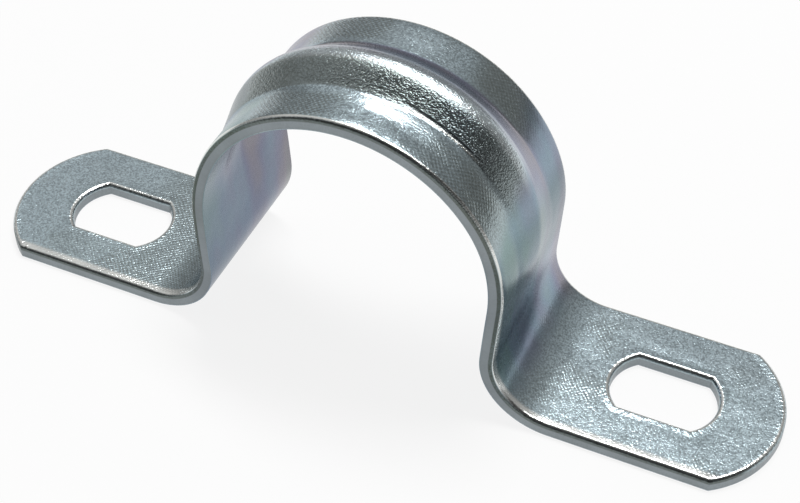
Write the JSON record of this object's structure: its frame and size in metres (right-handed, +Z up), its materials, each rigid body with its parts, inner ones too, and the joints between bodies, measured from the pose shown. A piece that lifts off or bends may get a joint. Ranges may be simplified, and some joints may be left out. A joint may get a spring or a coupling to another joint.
{
  "type": "conduit strap",
  "caption": "Folded sheet steel strap: a beaded arch that holds a round conduit, with a flat slotted foot on each side for screws.",
  "frame": {"origin": "on the mounting plane, below the middle of the arch", "axes": "+X along the strap from foot to foot, +Y along the conduit, +Z up out of the mounting plane through the crown"},
  "size_m": [0.0966, 0.0202, 0.037],
  "materials": {
    "zinc_plate": "bright blue-white zinc plate on rolled steel sheet, fine grain"
  },
  "bodies": {
    "root": {"strap": "zinc_plate"}
  },
  "joints": []
}
